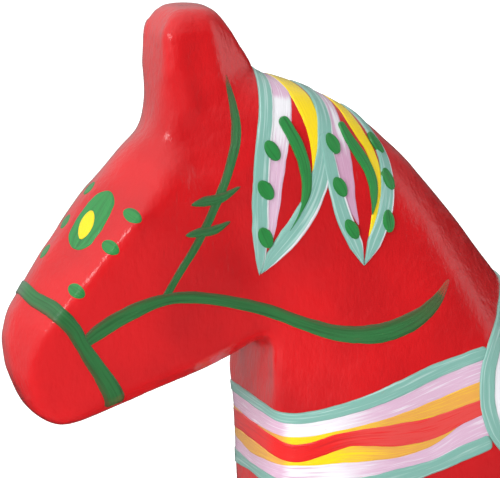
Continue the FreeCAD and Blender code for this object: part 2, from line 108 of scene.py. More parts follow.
# %% Helpers that join nodes
class Wiring:
    """A short hand that adds nodes to one tree and joins them."""

    def __init__(self, tree):
        self.tree = tree

    def make(self, kind, inputs=(), **settings):
        node = self.tree.nodes.new(kind)
        for key, value in settings.items():
            setattr(node, key, value)
        for key, value in dict(inputs).items():
            if isinstance(value, bpy.types.NodeSocket):
                self.tree.links.new(value, node.inputs[key])
            else:
                node.inputs[key].default_value = value
        return node

    def math(self, operation, one, two=0.0):
        return self.make("ShaderNodeMath", {0: one, 1: two}, operation=operation).outputs[0]

    def vector(self, operation, one, two=(0, 0, 0)):
        return self.make("ShaderNodeVectorMath", {0: one, 1: two}, operation=operation).outputs["Vector"]

    def scaled(self, vector, amount):
        return self.make("ShaderNodeVectorMath", {0: vector, "Scale": amount},
                         operation="SCALE").outputs["Vector"]

    def joined(self, x, y, z=0.0):
        return self.make("ShaderNodeCombineXYZ", {0: x, 1: y, 2: z}).outputs[0]

    def ramp(self, value, start, stop, low=0.0, high=1.0):
        return self.make("ShaderNodeMapRange", {"Value": value, "From Min": start, "From Max": stop,
                                                "To Min": low, "To Max": high},
                         interpolation_type="SMOOTHSTEP").outputs[0]

    def noise(self, vector, scale=1.0, detail=2.0, rough=0.5):
        return self.make("ShaderNodeTexNoise", {"Vector": vector, "Scale": scale, "Detail": detail,
                                                "Roughness": rough}).outputs["Fac"]


# %% Floor and lamps
def new_material(name):
    material = bpy.data.materials.new(name)
    material.use_nodes = True
    return material, material.node_tree, material.node_tree.nodes["Principled BSDF"]


HALF_FLOOR = 1.5
floor_mesh = bpy.data.meshes.new("floor")
floor_mesh.from_pydata([(-HALF_FLOOR, -HALF_FLOOR, 0), (HALF_FLOOR, -HALF_FLOOR, 0),
                        (HALF_FLOOR, HALF_FLOOR, 0), (-HALF_FLOOR, HALF_FLOOR, 0)], [], [(0, 1, 2, 3)])
floor = bpy.data.objects.new("floor", floor_mesh)
scene.collection.objects.link(floor)
floor_material, _, floor_shader = new_material("pale_floor")
floor_shader.inputs["Base Color"].default_value = (0.93, 0.93, 0.93, 1)
floor_shader.inputs["Roughness"].default_value = 0.8
floor_shader.inputs["Emission Color"].default_value = (1, 1, 1, 1)
floor_shader.inputs["Emission Strength"].default_value = 0.4
floor_mesh.materials.append(floor_material)
floor.visible_glossy = False


def softbox(name, turn, rise, reach, size, watts, mirrored=False):
    """A square soft lamp that looks at the middle of the horse, and may be mirrored in the varnish."""
    data = bpy.data.lights.new(name, "AREA")
    data.shape = "SQUARE"
    data.size = size
    data.energy = watts
    lamp = bpy.data.objects.new(name, data)
    turn, rise = math.radians(turn), math.radians(rise)
    middle = spot(-10, 0, 80)
    lamp.location = middle + reach * Vector((math.sin(turn) * math.cos(rise),
                                             -math.cos(turn) * math.cos(rise), math.sin(rise)))
    aim(lamp, middle)
    lamp.visible_glossy = mirrored
    scene.collection.objects.link(lamp)
    return lamp


softbox("key_front_left", -70, 35, 0.8, 0.6, 2.9)
softbox("front_low", -55, 3, 1.0, 0.6, 2.6)
softbox("top", 20, 80, 0.8, 0.7, 3.0)
softbox("behind", 150, 35, 0.9, 0.8, 2.6)
softbox("window", -57, 24, 0.9, 0.2, 0.9, mirrored=True)

# %% The room's own light
# What the varnish mirrors: a ceiling and a panel behind the tail. Each is a direction, the
# nearness to it at which the light starts and ends, and the strength at either end.
CEILING = ((-0.45, 0.25, 0.86), -0.15, 0.9, 0.02, 1.2)
PANEL = ((0.95, -0.25, 0.1), 0.84, 1.0, 0.0, 1.3)
EVEN_LIGHT = 0.48


def glow(w, direction, start, stop, low, high):
    """Light that grows as one looks more nearly along a direction."""
    looking = w.make("ShaderNodeTexCoord").outputs["Generated"]
    nearness = w.make("ShaderNodeVectorMath", {0: looking, 1: Vector(direction).normalized()},
                      operation="DOT_PRODUCT").outputs["Value"]
    return w.make("ShaderNodeMapRange", {"Value": nearness, "From Min": start, "From Max": stop,
                                         "To Min": low, "To Max": high}).outputs["Result"]


def studio_room():
    """A room that the camera sees as white, that lights evenly, and that is mirrored as above."""
    world = bpy.data.worlds.new("studio_room")
    world.use_nodes = True
    world.node_tree.nodes.clear()
    w = Wiring(world.node_tree)
    rays = w.make("ShaderNodeLightPath").outputs
    mirrored = w.math("ADD", glow(w, *PANEL), glow(w, *CEILING))
    strength = w.make("ShaderNodeMix", {"Factor": rays["Is Glossy Ray"], "A": EVEN_LIGHT,
                                        "B": mirrored}).outputs["Result"]
    room = w.make("ShaderNodeBackground", {"Strength": strength}).outputs[0]
    seen = w.make("ShaderNodeBackground", {"Color": (1, 1, 1, 1)}).outputs[0]
    chosen = w.make("ShaderNodeMixShader", {"Fac": rays["Is Camera Ray"], 1: room, 2: seen}).outputs[0]
    w.make("ShaderNodeOutputWorld", {"Surface": chosen})
    return world


scene.world = studio_room()

# %% [markdown]
# ## The carved form
#
# The frame's pine block has flat facets and hard edges, as it leaves the knife. On the shelf
# it has been sanded and lacquered, so every edge is soft. A copy of the block is remeshed to
# small even faces. Each point is then moved a little towards its neighbours, many times over:
# few times on the head and the ears, where the knife cuts stay crisp, and many times on the
# neck and the trunk, which are sanded round.

# %% Remesh the block and sand it
FACE_SIZE = 0.62 * MM
COAT = 0.3 * MM
BARE_EDGE = 0.5 * MM
PASSES_ALL_OVER = 7
PASSES_ON_BODY = 110
PASSES_AT_EAR_ROOT = 45


def plain_mesh(thing, name):
    """What an object's modifiers make of it, as a mesh of its own."""
    graph = bpy.context.evaluated_depsgraph_get()
    mesh = bpy.data.meshes.new_from_object(thing.evaluated_get(graph))
    mesh.name = name
    return mesh


def remeshed_block():
    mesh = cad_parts["pine_core"].data.copy()
    work = bmesh.new()
    work.from_mesh(mesh)
    bmesh.ops.remove_doubles(work, verts=work.verts, dist=1e-6)
    work.to_mesh(mesh)
    work.free()
    block = bpy.data.objects.new("block", mesh)
    scene.collection.objects.link(block)
    even = block.modifiers.new("even_faces", "REMESH")
    even.mode = "VOXEL"
    even.voxel_size = FACE_SIZE
    result = plain_mesh(block, "carved_form")
    bpy.data.objects.remove(block)
    return result


def points_of(mesh):
    found = np.empty(len(mesh.vertices) * 3)
    mesh.vertices.foreach_get("co", found)
    return found.reshape(-1, 3)


def set_points(mesh, points):
    mesh.vertices.foreach_set("co", points.ravel())
    mesh.update()


def normals_of(mesh):
    found = np.empty(len(mesh.vertices) * 3)
    mesh.vertex_normals.foreach_get("vector", found)
    return found.reshape(-1, 3)


def sand(points, edges, strength, passes):
    """Move every point towards the middle of its neighbours, as far as strength allows."""
    one, other = edges[:, 0], edges[:, 1]
    count = len(points)
    neighbours = np.bincount(one, minlength=count) + np.bincount(other, minlength=count)
    for _ in range(passes):
        middle = np.stack([np.bincount(one, points[other, axis], count) +
                           np.bincount(other, points[one, axis], count) for axis in range(3)], 1)
        middle /= neighbours[:, None]
        points = points + 0.5 * strength[:, None] * (middle - points)
    return points


def ramp(values, start, stop):
    share = np.clip((values - start) / (stop - start), 0, 1)
    return share * share * (3 - 2 * share)


form = remeshed_block()
points = points_of(form)
edges = np.empty(len(form.edges) * 2, dtype=np.int64)
form.edges.foreach_get("vertices", edges)
edges = edges.reshape(-1, 2)
drawn_x, drawn_z = points[:, 0] / LENGTH, points[:, 2] / HEIGHT

off_sole = ramp(drawn_z, 0.4, 3)
# 0 on the head and the ears, 1 on the neck, trunk and legs
body_share = np.maximum(ramp(drawn_x + 0.5 * (drawn_z - 100), -36, -22), 1 - ramp(drawn_z, 64, 72))
body_share *= 1 - ramp(drawn_z, 117, 121)
legs = 1 - ramp(drawn_z, 30, 46)
points = sand(points, edges, off_sole, PASSES_ALL_OVER)
points = sand(points, edges, off_sole * body_share * (1 - 0.75 * legs), PASSES_ON_BODY)
# where the ears grow out of the forehead the cuts run into each other
ear_root = ramp(drawn_z, 101, 107) * (1 - ramp(drawn_z, 114, 122)) * (1 - ramp(drawn_x, -30, -22))
points = sand(points, edges, ear_root, PASSES_AT_EAR_ROOT)
set_points(form, points)
print("carved form:", len(form.polygons), "faces")

# %% [markdown]
# A few knife cuts stay visible under the lacquer on both sides: a ridge and a hollow on the
# ear, the temple, and the throat. The points near each cut move out along the surface's
# normal, or in, less and less with their distance from it.

# %% The ear, the temple and the throat
# Each cut: from, to, breadth, and height out of the surface, in drawn millimetres.
CUTS = (
    ((-38, 4.4, 127), (-35, 6.6, 116), 1.2, 0.35),
    ((-34.6, 5.2, 125), (-33, 6.8, 117), 2.4, -0.25),
    ((-35.4, 7.9, 111.5), (-34, 7.9, 107.5), 3.0, -0.7),
    ((-24.4, 6.6, 78), (-24, 6.6, 74), 2.6, -0.5),
)


def cut_height(places, start, stop, breadth, height):
    """How far each place moves out for one cut, most along the line from start to stop."""
    line = np.subtract(stop, start)
    share = np.clip((places - start) @ line / (line @ line), 0, 1)
    away = np.linalg.norm(places - start - share[:, None] * line, axis=1)
    return height * np.exp(-(away / breadth) ** 2)


drawn = points / (LENGTH, WIDTH, HEIGHT)
drawn[:, 1] = np.abs(drawn[:, 1])
cuts = sum(cut_height(drawn, *cut) for cut in CUTS)
points = points + normals_of(form) * (cuts * MM)[:, None]
set_points(form, points)
normals = normals_of(form)
print("cuts reach from", round(float(cuts.min()), 2), "to", round(float(cuts.max()), 2), "mm")

# %% Waves that the knife and the sandpaper leave
WAVES = ((9, 0.16), (3.4, 0.05))
wave = np.zeros(len(points))
for breadth, depth in WAVES:
    reach = 1 / (breadth * MM)
    wave += depth * MM * np.array([noise.noise(Vector(p) * reach) for p in points])
points = points + normals * (wave * off_sole)[:, None]
set_points(form, points)
normals = normals_of(form)


# %% The bare pine inside and the lacquer skin over it
def make_piece(name, mesh, slot, *nodes):
    """Show a mesh instead of CAD nodes, riding with the horse."""
    thing = bpy.data.objects.new(name, mesh)
    scene.collection.objects.link(thing)
    mesh.shade_smooth()
    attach(thing, "root")
    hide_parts(*nodes)
    return thing


pine_mesh = form.copy()
pine_points = points.copy()
pine_points[:, 2] = np.where(drawn_z < 0.7, 0, np.maximum(points[:, 2], 0))
set_points(pine_mesh, pine_points)

skin_mesh = form.copy()
skin_points = points + normals * COAT
skin_points[:, 2] = np.maximum(skin_points[:, 2], BARE_EDGE)
set_points(skin_mesh, skin_points)
pine_body = make_piece("pine_body", pine_mesh, "pine", "pine_core")
lacquer_skin = make_piece("lacquer_skin", skin_mesh, "red_lacquer", "red_coat")
skin_tree = BVHTree.FromPolygons([Vector(p) for p in skin_points],
                                 [tuple(face.vertices) for face in skin_mesh.polygons])
print("skin reaches", [round(float(v) * 1000, 1) for v in skin_points.max(0) - skin_points.min(0)], "mm")

# %% [markdown]
# ## Finishes
#
# All colours are oil paint under a clear varnish, so every finish is the same shader with a
# clear coat, and differs in its colour and in the marks of its brush. The lacquer's marks
# come from noise in the horse's own space. A stroke carries three values of its own: how far
# along it a point lies, how far across, and its share of the length.

# %% One finish
class Finish(Wiring):
    """One material."""

    def __init__(self, name):
        self.material, tree, self.shader = new_material(name)
        super().__init__(tree)

    def mix(self, share, one, two):
        node = self.tree.nodes.new("ShaderNodeMix")
        node.data_type = "RGBA"
        for socket, value in ((node.inputs[0], share), (node.inputs[6], one), (node.inputs[7], two)):
            if isinstance(value, bpy.types.NodeSocket):
                self.tree.links.new(value, socket)
            else:
                socket.default_value = value
        return node.outputs[2]

    def value(self, name):
        return self.make("ShaderNodeAttribute", attribute_name=name).outputs["Fac"]

    def close(self, colour, height, depth, rough, coat_rough):
        bump = self.make("ShaderNodeBump", {"Height": height, "Distance": depth, "Strength": 1.0})
        self.tree.links.new(colour, self.shader.inputs["Base Color"])
        self.tree.links.new(bump.outputs[0], self.shader.inputs["Normal"])
        self.tree.links.new(bump.outputs[0], self.shader.inputs["Coat Normal"])
        self.shader.inputs["Roughness"].default_value = rough
        self.shader.inputs["Specular IOR Level"].default_value = 0.15
        self.shader.inputs["Coat Weight"].default_value = 1.0
        self.shader.inputs["Coat Roughness"].default_value = coat_rough
        return self.material


# %% Red lacquer and bare pine
RED = (0.61, 0.008, 0.011, 1)
DEEP_RED = (0.49, 0.007, 0.010, 1)


def lacquer():
    """Red lacquer: two close reds, an uneven brushed surface and small specks under the varnish."""
    n = Finish("red_lacquer")
    place = n.make("ShaderNodeTexCoord").outputs["Object"]
    brushed = n.make("ShaderNodeMapping", {"Vector": place, "Scale": (1, 1, 0.35)}).outputs[0]
    patches = n.noise(place, 60 / (1000 * MM), 3)
    colour = n.mix(n.ramp(patches, 0.35, 0.7), RED, DEEP_RED)
    specks = n.make("ShaderNodeTexVoronoi", {"Vector": place, "Scale": 260.0, "Randomness": 1.0})
    chosen = n.ramp(n.make("ShaderNodeSeparateColor", {0: specks.outputs["Color"]}).outputs[0], 0.965, 0.97)
    near = n.ramp(specks.outputs["Distance"], 0.02, 0.055, 1.0, 0.0)
    colour = n.mix(n.math("MULTIPLY", chosen, near), colour, (0.78, 0.30, 0.28, 1))
    peel = n.noise(brushed, 1500, 3, 0.6)
    swell = n.noise(place, 420, 2)
    height = n.math("ADD", n.math("MULTIPLY", peel, 0.6), swell)
    return n.close(colour, height, 0.00016, 0.3, 0.1)


def pine():
    """Bare pine: growth rings and a fine grain that runs up the legs."""
    n = Finish("bare_pine")
    place = n.make("ShaderNodeTexCoord").outputs["Object"]
    grain = n.make("ShaderNodeMapping", {"Vector": place, "Scale": (1, 1, 0.06)}).outputs[0]
    rings = n.make("ShaderNodeTexWave", {"Vector": grain, "Scale": 160, "Distortion": 3.0, "Detail": 2.0},
                   wave_type="RINGS", rings_direction="Z").outputs["Fac"]
    fibres = n.noise(grain, 2600, 3)
    colour = n.mix(n.ramp(rings, 0.3, 0.9), (0.74, 0.53, 0.30, 1), (0.52, 0.31, 0.14, 1))
    colour = n.mix(n.math("MULTIPLY", fibres, 0.3), colour, (0.45, 0.27, 0.12, 1))
    material = n.close(colour, fibres, 0.00004, 0.6, 0.5)
    n.shader.inputs["Coat Weight"].default_value = 0.0
    return material


def dress(thing, material):
    thing.data.materials.clear()
    thing.data.materials.append(material)


dress(lacquer_skin, lacquer())
dress(pine_body, pine())
print("the bare form wears", lacquer_skin.data.materials[0].name, "and", pine_body.data.materials[0].name)

# %% [markdown]
# The paints differ in where the brush leaves the red ground uncovered. A loaded brush covers;
# a dry one leaves streaks that run along the stroke, most of them at its ends.

# %% Brush paint
TEAL, PALE_TEAL = (0.205, 0.43, 0.37, 1), (0.38, 0.58, 0.54, 1)
WHITE, LILAC, PINK_LILAC = (0.80, 0.79, 0.83, 1), (0.66, 0.43, 0.58, 1), (0.58, 0.32, 0.47, 1)
YELLOW, ORANGE = (0.90, 0.66, 0.004, 1), (0.76, 0.37, 0.07, 1)
LEAF_GREEN, DARK_LEAF = (0.022, 0.235, 0.05, 1), (0.015, 0.12, 0.03, 1)
BRIDLE_GREEN, DARK_BRIDLE = (0.028, 0.16, 0.045, 1), (0.018, 0.085, 0.025, 1)
BRIGHT_RED, CORAL, BROWN = (0.74, 0.010, 0.010, 1), (0.72, 0.065, 0.060, 1), (0.075, 0.075, 0.028, 1)


def paint(name, body, streak, far=None, near=None, streaks=(0.5, 0.68), dry=0.30, dry_end=0.12,
          rim=None, thin=None, spent=None):
    """Oil paint laid by a bristle brush.

    far and near are the colours towards the ends and in the middle of a stroke, rim is a painted
    highlight along its right edge, white for the light that the raised paint edge catches, thin that
    of its upper edge where the paint lets the ground through, and spent that of the last of the stroke,
    where the brush is nearly empty.
    """
    n = Finish(name)
    along, across, share = n.value("along"), n.value("across"), n.value("share")
    lines = n.joined(n.math("MULTIPLY", along, 0.09), n.math("MULTIPLY", across, 3.2))
    fine = n.joined(n.math("MULTIPLY", along, 0.16), n.math("MULTIPLY", across, 9.0), 7.0)
    colour = n.mix(n.ramp(n.noise(lines, 1.0, 3), *streaks), body, streak)
    from_middle = n.math("ABSOLUTE", n.math("SUBTRACT", share, 0.5))
    streaky = n.ramp(n.noise(fine, 1.0, 3), 0.5, 0.74, 0.0, 0.8)
    if far:
        turned = n.math("ADD", from_middle, n.math("MULTIPLY", n.noise(lines, 1.4, 2), 0.14))
        colour = n.mix(n.ramp(turned, 0.26, 0.38), colour, n.mix(streaky, far, body))
    if near:
        turned = n.math("ADD", from_middle, n.math("MULTIPLY", n.noise(fine, 1.4, 2), 0.03))
        colour = n.mix(n.ramp(turned, 0.13, 0.15), n.mix(streaky, near, body), colour)
    # painted highlight: the rim colour along the right edge stands for light caught on the raised edge of
    # the paint
    if rim:
        edge = n.math("ADD", across, n.math("MULTIPLY", n.noise(lines, 2.0, 2), 0.3))
        colour = n.mix(n.ramp(edge, -0.62, -0.5), rim, colour)
    if thin:
        edge = n.math("ADD", across, n.noise(fine, 1.0, 3))
        colour = n.mix(n.ramp(edge, 0.75, 1.5), colour, thin)
    if spent:
        emptied = n.math("ADD", share, n.math("MULTIPLY", n.noise(fine, 1.2, 2), 0.15))
        colour = n.mix(n.ramp(emptied, 0.86, 1.12), colour, spent)
    bristles = n.noise(fine, 1.3, 3, 0.6)
    bare_below = n.math("ADD", dry, n.ramp(share, 1 - dry_end, 1.0, 0.0, 0.3))
    gap = n.math("SUBTRACT", bare_below, bristles)
    colour = n.mix(n.ramp(gap, -0.02, 0.04), colour, RED)
    return n.close(colour, bristles, 0.00008, 0.35, 0.08)


PAINTS = {
    "leaf_green": paint("leaf_green_paint", LEAF_GREEN, DARK_LEAF, streaks=(0.4, 0.8), dry=0.20,
                        dry_end=0.01),
    "bridle_green": paint("bridle_green_paint", BRIDLE_GREEN, DARK_BRIDLE, streaks=(0.4, 0.8), dry=0.25,
                          dry_end=0.10, thin=BROWN, spent=BROWN),
    "teal": paint("teal_paint", TEAL, PALE_TEAL, dry=0.24, dry_end=0.02),
    # teal with a painted highlight: white along its right edge stands for light on the raised paint edge
    "teal_painted_highlight": paint("rimmed_teal_paint", TEAL, PALE_TEAL, dry=0.20, dry_end=0.01, rim=WHITE),
    "white": paint("white_paint", WHITE, LILAC, far=LILAC, near=LILAC, streaks=(0.54, 0.7), dry=0.25,
                   dry_end=0.02),
    "field_white": paint("field_white_paint", WHITE, PALE_TEAL, streaks=(0.6, 0.8), dry=0.15, dry_end=0.01),
    "lilac": paint("lilac_paint", LILAC, WHITE, far=PINK_LILAC, streaks=(0.46, 0.6), dry=0.30),
    "yellow": paint("yellow_paint", YELLOW, ORANGE, far=ORANGE, near=ORANGE, streaks=(0.6, 0.8), dry=0.24,
                    dry_end=0.02),
    "bright_yellow": paint("bright_yellow_paint", YELLOW, ORANGE, streaks=(0.58, 0.8), dry=0.24,
                           dry_end=0.05),
    "brush_red": paint("brush_red_paint", BRIGHT_RED, RED, far=CORAL, dry=0.2, dry_end=0.02),
}
print(len(PAINTS), "paints mixed")

# %% [markdown]
# ## One brush stroke
#
# A stroke starts as a curve drawn over the lacquer; the radius of the curve is half the breadth
# of the stroke. The node tree lays a flat grid along the curve, drops each of its points to the
# nearest place on the lacquer, and lifts it again by the thickness of the paint. The rim sinks
# just under the surface below, the ends are rounded, and the edges wobble a little. A second
# stroke on top of a first one simply has a higher layer.

# %% The tree that lays a stroke
SINK = 0.03 * MM
FEATHER = 0.13 * MM
RIM = 0.22 * MM
FEWEST_CELLS = 8.0
SEED_STEP = 40.0
STROKE_INPUTS = (("Body", "Object"), ("Cell", "Float"), ("Across", "Int"), ("Top", "Float"),
                 ("Round", "Float"), ("Wobble", "Float"), ("Seed", "Float"), ("Paint", "Material"))


def stroke_tree():
    tree = bpy.data.node_groups.new("brush_stroke", "GeometryNodeTree")
    tree.interface.new_socket("Geometry", in_out="INPUT", socket_type="NodeSocketGeometry")
    for label, kind in STROKE_INPUTS:
        tree.interface.new_socket(label, in_out="INPUT", socket_type=f"NodeSocket{kind}")
    tree.interface.new_socket("Geometry", in_out="OUTPUT", socket_type="NodeSocketGeometry")
    w = Wiring(tree)
    given = w.make("NodeGroupInput").outputs
    length = w.make("GeometryNodeCurveLength", {"Curve": given["Geometry"]}).outputs[0]
    cells = w.math("CEIL", w.math("DIVIDE", length, given["Cell"]))
    steps = w.math("MAXIMUM", cells, FEWEST_CELLS)
    grid = w.make("GeometryNodeMeshGrid", {"Size X": 1.0, "Size Y": 2.0, "Vertices X": steps,
                                           "Vertices Y": given["Across"]}).outputs["Mesh"]
    flat = w.make("ShaderNodeSeparateXYZ", {0: w.make("GeometryNodeInputPosition").outputs[0]}).outputs
    share, across = w.math("ADD", flat[0], 0.5), flat[1]
    along = w.math("MULTIPLY", share, length)
    to_end = w.math("MINIMUM", along, w.math("SUBTRACT", length, along))

    def on_body(kind, at):
        body = w.make("GeometryNodeObjectInfo", {"Object": given["Body"]}).outputs["Geometry"]
        value = w.make(f"GeometryNodeInput{kind}").outputs[0]
        wanted = {"Mesh": body, "Value": value, "Sample Position": at}
        return w.make("GeometryNodeSampleNearestSurface", wanted, data_type="FLOAT_VECTOR").outputs["Value"]

    def along_curve(output):
        radius = w.make("GeometryNodeInputRadius").outputs[0]
        return w.make("GeometryNodeSampleCurve", {"Curves": given["Geometry"], "Value": radius,
                                                  "Factor": share}, mode="FACTOR").outputs[output]

    # breadth, with rounded ends and unsteady edges
    rounding = w.math("MINIMUM", given["Round"], w.math("DIVIDE", length, 2.0))
    opened = w.math("SUBTRACT", 1.0, w.math("MINIMUM", w.math("DIVIDE", to_end, rounding), 1.0))
    rounded = w.math("SQRT", w.math("MAXIMUM", w.math("SUBTRACT", 1.0, w.math("POWER", opened, 2.0)), 0.02))
    millimetres = w.math("DIVIDE", along, MM)
    rim = w.joined(w.math("MULTIPLY", millimetres, 0.3), w.math("SIGN", across), given["Seed"])
    unsteady = w.math("MULTIPLY", w.math("SUBTRACT", w.noise(rim), 0.5), given["Wobble"])
    radius = along_curve("Value")
    half = w.math("MULTIPLY", w.math("MULTIPLY", radius, rounded), w.math("ADD", 1.0, unsteady))

    # out to the side, down to the lacquer and up by the paint
    middle = along_curve("Position")
    sideways = w.vector("NORMALIZE", w.vector("CROSS_PRODUCT", on_body("Normal", middle),
                                              along_curve("Tangent")))
    beside = w.vector("ADD", middle, w.scaled(sideways, w.math("MULTIPLY", across, half)))
    to_rim = w.math("MULTIPLY", w.math("SUBTRACT", 1.0, w.math("ABSOLUTE", across)), half)
    crown = w.ramp(to_rim, 0.0, RIM)
    closed = w.ramp(to_end, 0.0, FEATHER)
    present = w.ramp(radius, 0.2 * FEATHER, FEATHER)
    cover = w.math("MULTIPLY", crown, w.math("MULTIPLY", closed, present))
    height = w.math("SUBTRACT", w.math("MULTIPLY", cover, w.math("ADD", given["Top"], SINK)), SINK)
    laid = w.vector("ADD", on_body("Position", beside), w.scaled(on_body("Normal", beside), height))

    shift = w.math("ADD", millimetres, w.math("MULTIPLY", given["Seed"], SEED_STEP))
    mesh = grid
    for name, value in (("share", share), ("across", across), ("along", shift)):
        mesh = w.make("GeometryNodeStoreNamedAttribute", {"Geometry": mesh, "Name": name, "Value": value},
                      data_type="FLOAT", domain="POINT").outputs[0]
    mesh = w.make("GeometryNodeSetPosition", {"Geometry": mesh, "Position": laid}).outputs[0]
    mesh = w.make("GeometryNodeRealizeInstances", {"Geometry": mesh}).outputs[0]
    mesh = w.make("GeometryNodeSetMaterial", {"Geometry": mesh, "Material": given["Paint"]}).outputs[0]
    w.make("NodeGroupOutput", {0: mesh})
    return tree


STROKE = stroke_tree()
STROKE_SOCKETS = {item.name: item.identifier
                  for item in STROKE.interface.items_tree if item.in_out == "INPUT"}
print("stroke inputs:", ", ".join(STROKE_SOCKETS))

# %% [markdown]
# ## Laying strokes
#
# The pattern is drawn in side view. A point of a path is (x, z, half breadth) where the brush
# meets the side of the horse, or (x, y, z, half breadth) where it runs over the crest, the back
# or the chest; both are pressed onto the lacquer. Paths are drawn for the left side and mirrored.

# %% From a drawn path to paint on the lacquer
LEFT, RIGHT = -1, 1
SIDES = ((LEFT, "left"), (RIGHT, "right"))
LAYER = 0.06 * MM
PAINT_DEPTH = 0.1 * MM


def press(point, side):
    """Where a drawn point lies on the lacquer, and the half breadth there in metres."""
    *place, half = point
    if len(place) == 2:
        start = spot(place[0], side * DRAWN_WIDTH, place[1])
        hit = skin_tree.ray_cast(start, Vector((0, -side, 0)))[0]
        if hit is not None:
            return hit, half * MM
        place = [place[0], 0, place[1]]
    x, y, z = place
    return skin_tree.find_nearest(spot(x, -side * y, z))[0], half * MM


def one_side(path, side, **settings):
    """A stroke on the left or the right side only."""
    return {"points": [press(point, side) for point in path], **settings}


def both_sides(path, **settings):
    return [one_side(path, side, **settings) for side in (LEFT, RIGHT)]


def over_the_top(path, **settings):
    """A stroke that climbs the left side, crosses the middle and goes down the right side."""
    left = [press(point, LEFT) for point in path]
    right = [press(point, RIGHT) for point in path[-2::-1]]
    return {"points": left + right, **settings}


def curve_of(name, points):
    curve = bpy.data.curves.new(name, "CURVE")
    curve.dimensions = "3D"
    line = curve.splines.new("BEZIER")
    line.bezier_points.add(len(points) - 1)
    for knot, (place, half) in zip(line.bezier_points, points):
        knot.co = place
        knot.radius = half
        knot.handle_left_type = knot.handle_right_type = "AUTO"
    return bpy.data.objects.new(name, curve)


def stroke_object(name, stroke, layer, paint_used, seed):
    """A curve that wears the stroke tree and has a closed underside."""
    thing = curve_of(name, stroke["points"])
    scene.collection.objects.link(thing)
    laying = thing.modifiers.new("lay", "NODES")
    laying.node_group = STROKE
    inputs = {"Body": lacquer_skin,
              "Cell": stroke.get("cell", 0.35) * MM, "Across": stroke.get("across", 13),
              "Top": (layer + 1) * LAYER, "Round": stroke.get("round", 0.8) * MM,
              "Wobble": stroke.get("wobble", 0.35), "Seed": float(seed), "Paint": paint_used}
    for label, value in inputs.items():
        laying[STROKE_SOCKETS[label]] = value
    closing = thing.modifiers.new("close", "SOLIDIFY")
    closing.thickness = PAINT_DEPTH
    closing.offset = -1
    return thing


VALUES = ("share", "across", "along")


def joined_mesh(name, meshes):
    """Several meshes in one, with the values that the paint reads."""
    points, faces = [], []
    values = {key: [] for key in VALUES}
    for mesh in meshes:
        first = sum(len(part) for part in points)
        points.append(points_of(mesh))
        faces += [[first + corner for corner in face.vertices] for face in mesh.polygons]
        for key in VALUES:
            found = np.empty(len(mesh.vertices), dtype=np.float32)
            mesh.attributes[key].data.foreach_get("value", found)
            values[key].append(found)
    result = bpy.data.meshes.new(name)
    result.from_pydata(np.concatenate(points), [], faces)
    for key in VALUES:
        layer = result.attributes.new(key, "FLOAT", "POINT")
        layer.data.foreach_set("value", np.concatenate(values[key]))
    return result


def lay(node, paint_name, slot, strokes, layer=0):
    """Lay all the strokes of one piece and show them instead of its CAD node."""
    paint_used = PAINTS[paint_name]
    first_seed = len(laid_pieces) * 7
    things = [stroke_object(f"{node}_{number}", stroke, layer, paint_used, first_seed + number)
              for number, stroke in enumerate(strokes)]
    graph = bpy.context.evaluated_depsgraph_get()
    meshes = [bpy.data.meshes.new_from_object(thing.evaluated_get(graph)) for thing in things]
    for thing in things:
        thing.modifiers.clear()
        bpy.data.objects.remove(thing)
    mesh = joined_mesh(node + "_paint", meshes)
    mesh.materials.append(paint_used)
    laid_pieces[node] = make_piece(node + "_paint", mesh, slot, node)
    return laid_pieces[node]


laid_pieces = {}
print("brush ready on a skin of", len(skin_mesh.polygons), "faces")

# %% The eyes and the dabs around them
def dab(x, z, tilt, length=3.0, slim=1.2):
    """One press of a round brush, leaning by tilt degrees."""
    lean = math.radians(tilt)
    out = (math.cos(lean) * length / 2, math.sin(lean) * length / 2)
    return [(x + way * out[0], z + way * out[1], length / 2 / slim) for way in (-1, 0, 1)]


def dabs(places, side, length=3.0, slim=1.2):
    return [one_side(dab(*place, length, slim), side, cell=0.1, round=length, wobble=0.3)
            for place in places]


def dabs_both_sides(places, **shape):
    return dabs(places, LEFT, **shape) + dabs(places, RIGHT, **shape)


EYE = [(-53, 95.6, 1.9), (-51.9, 97.3, 2.6), (-50.5, 99.3, 2.8), (-49.1, 101.2, 2.6), (-47.9, 102.8, 2.1),
       (-47.1, 103.8, 1.5)]
for side, end in SIDES:
    lay(f"eye_ring_{end}", "leaf_green", "leaf_green",
        [one_side(EYE, side, cell=0.16, round=1.8, wobble=0.15)])
    lay(f"eye_dot_{end}", "bright_yellow", "yellow",
        [one_side([(-52, 97, 1.15), (-50.9, 99, 1.35), (-49.8, 101, 1.15)], side,
                  cell=0.12, round=2.2, wobble=0.2)], layer=1)
    lay(f"cheek_dots_{end}", "leaf_green", "leaf_green",
        dabs([(-45.4, 101, -35), (-48.8, 96.5, -35), (-53.9, 90.2, -35)], side, length=2.2, slim=1.05))
nose = [(-49.1, 103.6), (-52.7, 98.7), (-55.9, 94.4)]
lay("nose_dots", "leaf_green", "leaf_green",
    [one_side([(x - 0.8, 0, z - 1.0, 0.95), (x, 0, z, 1.05), (x + 0.8, 0, z + 1.0, 0.95)], LEFT,
              cell=0.13, round=1.2, wobble=0.3) for x, z in nose])

